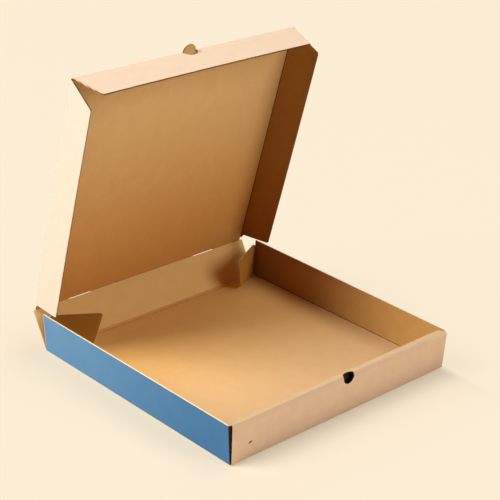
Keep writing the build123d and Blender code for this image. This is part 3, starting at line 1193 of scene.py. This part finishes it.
def fold_strip(name, start, stop, first_way, first_out, second_way, second_out, material,
               radius=proud):
    """Outer liner round a fold between two bodies, from start to stop along the fold's axis.

    The profile runs in along the first panel, round an arc about the axis from the first
    panel's outward direction to the second's, and out along the second panel."""
    turn = np.linspace(0, 1, 7)[:, None]
    arc = first_out * (1 - turn) + second_out * turn
    arc *= radius / np.linalg.norm(arc, axis=1)[:, None]
    spine = np.concatenate([
        (first_out * radius + first_way * strip_reach)[None], arc,
        (second_out * radius + second_way * strip_reach)[None],
    ])
    facing = np.concatenate([first_out[None], arc / radius, second_out[None]])
    count = max(2, int(np.linalg.norm(stop - start) / strip_step))
    places = start + (stop - start) * np.linspace(0, 1, count)[:, None]
    steps = np.linalg.norm(np.diff(spine, axis=0), axis=1)
    lengths = np.concatenate([[0], np.cumsum(steps)])
    along = np.linspace(0, np.linalg.norm(stop - start), count)
    part = sheet_part(
        places[:, None] + spine + facing * strip_above,
        places[:, None] + spine - facing * strip_below,
        np.stack(np.meshgrid(lengths, along), -1),
    )
    piece = make_piece(name, None, [part], [material])
    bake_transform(piece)


fold_strip(
    "back_fold_paper",
    back_axis - across * back_end, back_axis + across * back_end,
    np.array([0.0, -1.0, 0.0]), np.array([0.0, 0.0, -1.0]), back_up, -back_inward,
    outer_paper, sunk,
)
slit_inner, slit_outer = slit_place - slit_length / 2, slit_place + slit_length / 2
for name, low, high in (
    ("left", -panel_end, -slit_outer), ("middle", -slit_inner, slit_inner),
    ("right", slit_outer, panel_end),
):
    fold_strip(
        f"lid_fold_{name}_paper",
        lid_axis + across * low, lid_axis + across * high,
        -back_up, -back_inward, lid_up, -lid_inward, outer_paper, sunk,
    )
for hand, name, over_fold in ((-1, "left", lit_lid_paper), (1, "right", lit_front_flap_paper)):
    corner, down, inward = side_frames[hand]
    fold_strip(
        f"lid_{name}_fold_paper",
        corner + lid_up * side_start, corner + lid_up * (side_stop - 1.1),
        across * -hand, -lid_inward, down, -inward, over_fold,
    )
for hand, name in ((-1, "left"), (1, "right")):
    fold_strip(
        f"lid_front_{name}_fold_paper",
        front_corner + across * (hand * opening), front_corner + across * (hand * front_root),
        -lid_up, -lid_inward, front_down, -front_inward, lit_front_flap_paper,
    )

# %% [markdown]
# ## Floor and light
#
# Two large soft lamps at the upper left, behind the box, act as one tall light. Weaker ones fill
# from the front and the right. The pale table throws warm light back up under the walls and into
# the lid, so every ray but the camera's meets a brighter table than the camera is shown.
#
# The floor and the backdrop are the same cream. What the camera sees of the floor is held near
# that cream, more so further from the box, and the floor keeps part of the shadow.

# %% Floor and world
cream = linear(252, 238, 212)
camera_share = 0.76
lit_cream = tuple(camera_share * part for part in cream[:3]) + (1.0,)
bright_table = (0.86, 0.80, 0.70, 1.0)
floor_material = bpy.data.materials.new("studio floor")
floor_material.use_nodes = True
tree = floor_material.node_tree
tree.nodes.clear()
seen = add_node(tree, "ShaderNodeLightPath").outputs["Is Camera Ray"]
lit = add_node(tree, "ShaderNodeBsdfDiffuse", {"Color": mixed(tree, seen, bright_table, lit_cream)})
glow = add_node(tree, "ShaderNodeEmission", {"Color": cream, "Strength": 1.0})
# How far a place is outside the tray's footprint decides how much of the cream is held.
place = add_node(tree, "ShaderNodeTexCoord").outputs["Object"]
spot = add_node(tree, "ShaderNodeSeparateXYZ", {"Vector": place})
squared = []
for axis, half in ((0, half_width), (1, half_depth)):
    from_middle = math_node(tree, "ABSOLUTE", spot.outputs[axis])
    beyond = math_node(tree, "MAXIMUM", math_node(tree, "SUBTRACT", from_middle, half * MM), 0.0)
    squared.append(math_node(tree, "MULTIPLY", beyond, beyond))
reach = math_node(tree, "SQRT", math_node(tree, "ADD", *squared))
# The cream glow is painted light: it is held more beside the right wall than in front, so the shadow
# there is lighter.
beside = smooth_change(tree, spot.outputs[0], 0.158, 0.172, 0.41, 0.87)
fading = smooth_change(tree, reach, 0.025, 0.12, beside, 0.97)
share = math_node(tree, "MULTIPLY", seen, fading)
held = add_node(tree, "ShaderNodeMixShader", {0: share, 1: lit.outputs[0], 2: glow.outputs[0]})
add_node(tree, "ShaderNodeOutputMaterial", {0: held.outputs[0]})
floor_mesh = bpy.data.meshes.new("floor")
floor_mesh.from_pydata([(-9, -9, 0), (9, -9, 0), (9, 9, 0), (-9, 9, 0)], [], [(0, 1, 2, 3)])
floor_mesh.materials.append(floor_material)
floor = bpy.data.objects.new("floor", floor_mesh)
bpy.context.scene.collection.objects.link(floor)
floor.location.z = -0.0005
floor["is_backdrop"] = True

world = bpy.data.worlds.new("studio")
bpy.context.scene.world = world
world.use_nodes = True
tree = world.node_tree
tree.nodes.clear()
seen = add_node(tree, "ShaderNodeLightPath").outputs["Is Camera Ray"]
backdrop = add_node(tree, "ShaderNodeBackground", {"Color": cream, "Strength": 1.0})
room = {"Color": (1.0, 0.93, 0.84, 1.0), "Strength": 0.015}
around = add_node(tree, "ShaderNodeBackground", room)
chosen = {0: seen, 1: around.outputs[0], 2: backdrop.outputs[0]}
chosen = add_node(tree, "ShaderNodeMixShader", chosen)
add_node(tree, "ShaderNodeOutputWorld", {0: chosen.outputs[0]})

# %% Lamps
lamp_side, lamp_distance = 2.4, 4.5
lamp_target = np.array([0.0, 0.0, 0.1])
for name, turn, height, watts in (
    ("high key lamp", 115, 50, 180.0), ("low key lamp", 120, 35, 92.0),
    ("front fill", -20, 30, 84.0), ("right fill", -90, 60, 44.0),
):
    # Each lamp is turned from the front towards the left, raised, and faces the target.
    turn, height = math.radians(turn), math.radians(height)
    back = np.array([
        -math.sin(turn) * math.cos(height), -math.cos(turn) * math.cos(height), math.sin(height)
    ])
    sideways = np.cross([0.0, 0.0, 1.0], back)
    sideways /= np.linalg.norm(sideways)
    lamp = bpy.data.lights.new(name, "AREA")
    lamp.shape = "SQUARE"
    lamp.size = lamp_side
    lamp.energy = watts
    spot = lamp_target + back * lamp_distance
    placed_object(name, lamp, sideways, np.cross(back, sideways), back, spot)

bpy.context.scene.view_settings.view_transform = "Standard"

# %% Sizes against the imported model
visual_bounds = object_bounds()
sizes = {
    "cad": [list(corner) for corner in cad_bounds],
    "visual": [list(corner) for corner in visual_bounds],
}
for name, corners in sizes.items():
    print(name, [[round(v, 4) for v in corner] for corner in corners])
